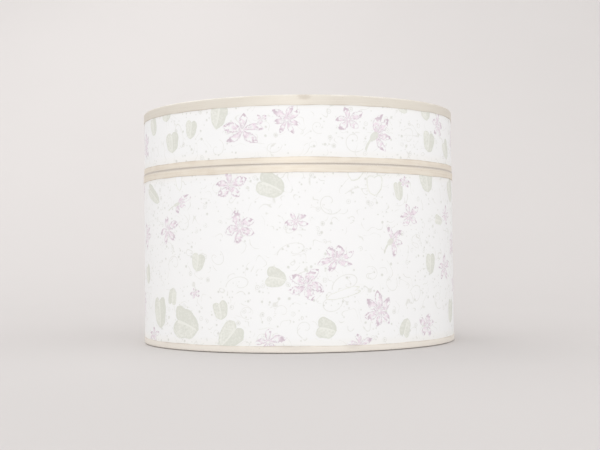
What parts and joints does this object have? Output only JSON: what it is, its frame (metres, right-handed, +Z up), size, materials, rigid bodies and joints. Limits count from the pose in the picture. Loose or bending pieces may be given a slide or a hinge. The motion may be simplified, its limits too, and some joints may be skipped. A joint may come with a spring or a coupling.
{
  "type": "round lidded cardboard box",
  "caption": "Round cardboard box covered in flower-printed paper with folded gilt edging; a lift-off lid drops over a raised inner neck.",
  "frame": {"origin": "centre of the underside, on the surface that the box stands on", "axes": "+Z up through the lid, along the axis of the round walls; +Y to the back, where the joints of the board strips are"},
  "size_m": [0.17, 0.17, 0.1238],
  "materials": {
    "board": "raw grey-brown strawboard",
    "gummed_tape": "brown gummed kraft paper",
    "printed_paper": "smooth white paper printed with pale mauve flowers and grey-green leaves",
    "gilt_edging": "thin pale antique gold paper, satin",
    "lining_paper": "plain cream lining paper, matt",
    "underside_paper": "plain buff paper, matt"
  },
  "bodies": {
    "base": {"base_wall": "board", "base_wall_joint_tape": "gummed_tape", "base_floor": "board", "neck_ring": "board", "neck_joint_tape": "gummed_tape", "neck_cover_paper": "lining_paper", "base_cover_paper": "printed_paper", "base_rim_edging": "gilt_edging", "base_foot_edging": "gilt_edging", "base_underside_paper": "underside_paper", "base_wall_lining": "lining_paper", "base_floor_lining": "lining_paper"},
    "lid": {"lid_wall": "board", "lid_wall_joint_tape": "gummed_tape", "lid_disc": "board", "lid_cover_paper": "printed_paper", "lid_top_paper": "printed_paper", "lid_top_edging": "gilt_edging", "lid_rim_edging": "gilt_edging", "lid_wall_lining": "lining_paper", "lid_ceiling_lining": "lining_paper"}
  },
  "joints": [
    {"name": "lid_lift", "type": "slide", "parent": "base", "child": "lid", "axis": [0, 0, 1], "range_m": [0, 0.15]}
  ]
}
